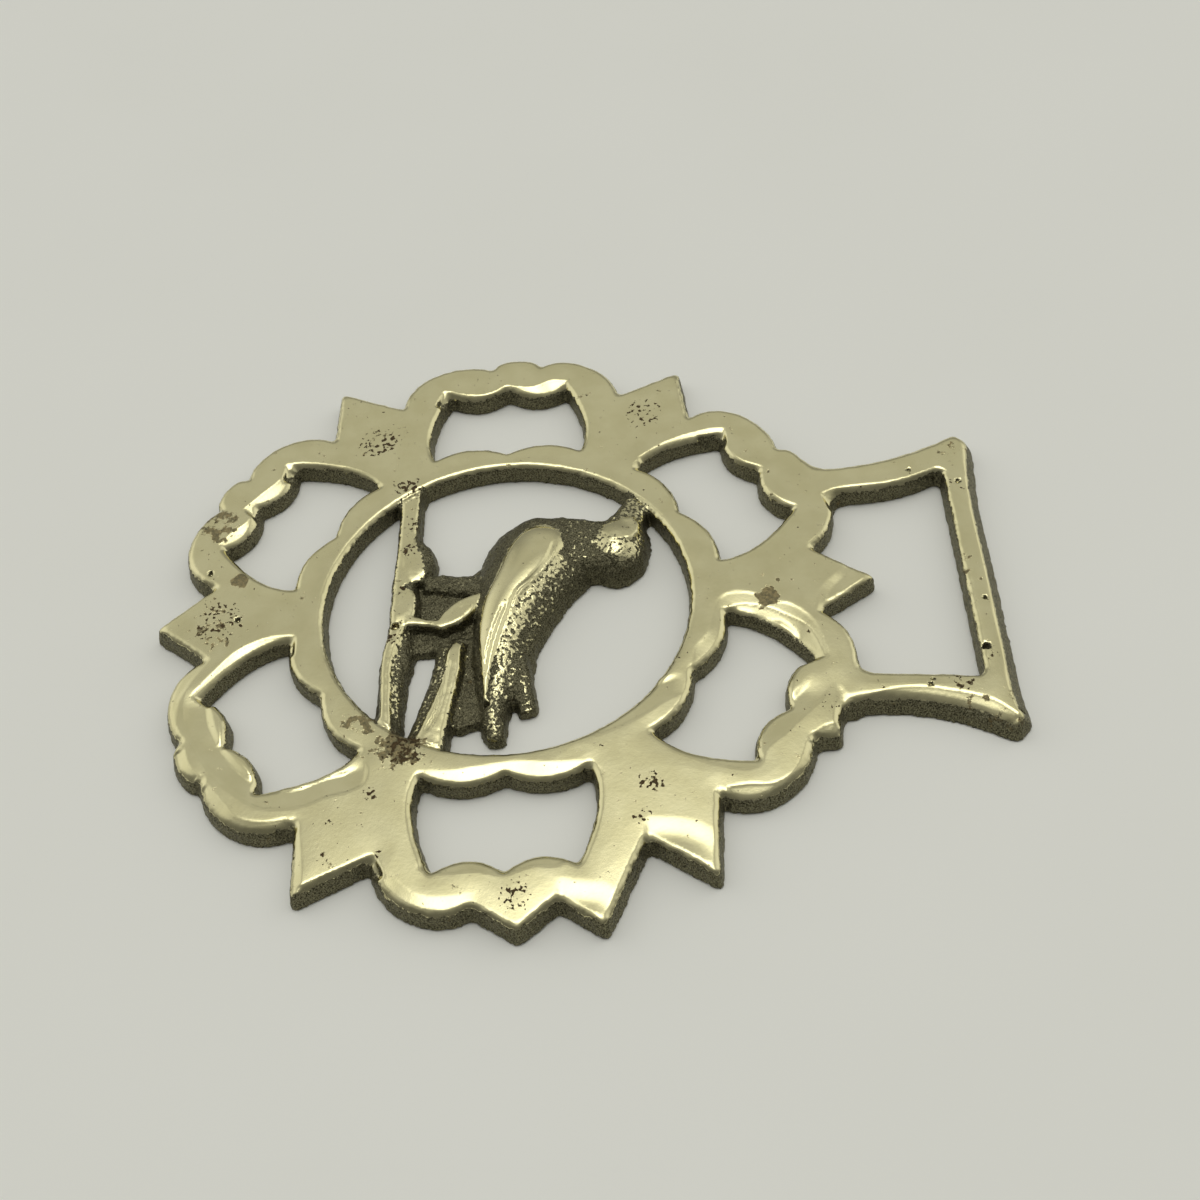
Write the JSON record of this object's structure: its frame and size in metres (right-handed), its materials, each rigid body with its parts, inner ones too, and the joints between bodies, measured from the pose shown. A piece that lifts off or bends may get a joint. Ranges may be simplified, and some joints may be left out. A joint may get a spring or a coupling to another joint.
{
  "type": "horse brass",
  "caption": "Cast harness ornament: pierced round plaque of scalloped petals, a perched bird in its middle window and a flared strap loop.",
  "frame": {"origin": "on the flat back, under the middle of the casting's outline", "axes": "+Y from the plaque to the strap loop, +Z out of the polished face; the brass lies on its back on z = 0"},
  "size_m": [0.0698, 0.0814, 0.0039],
  "materials": {
    "brass": "worn polish on the raised faces, dark rough as-cast walls and back"
  },
  "bodies": {
    "root": {"horse_brass": "brass"}
  },
  "joints": []
}
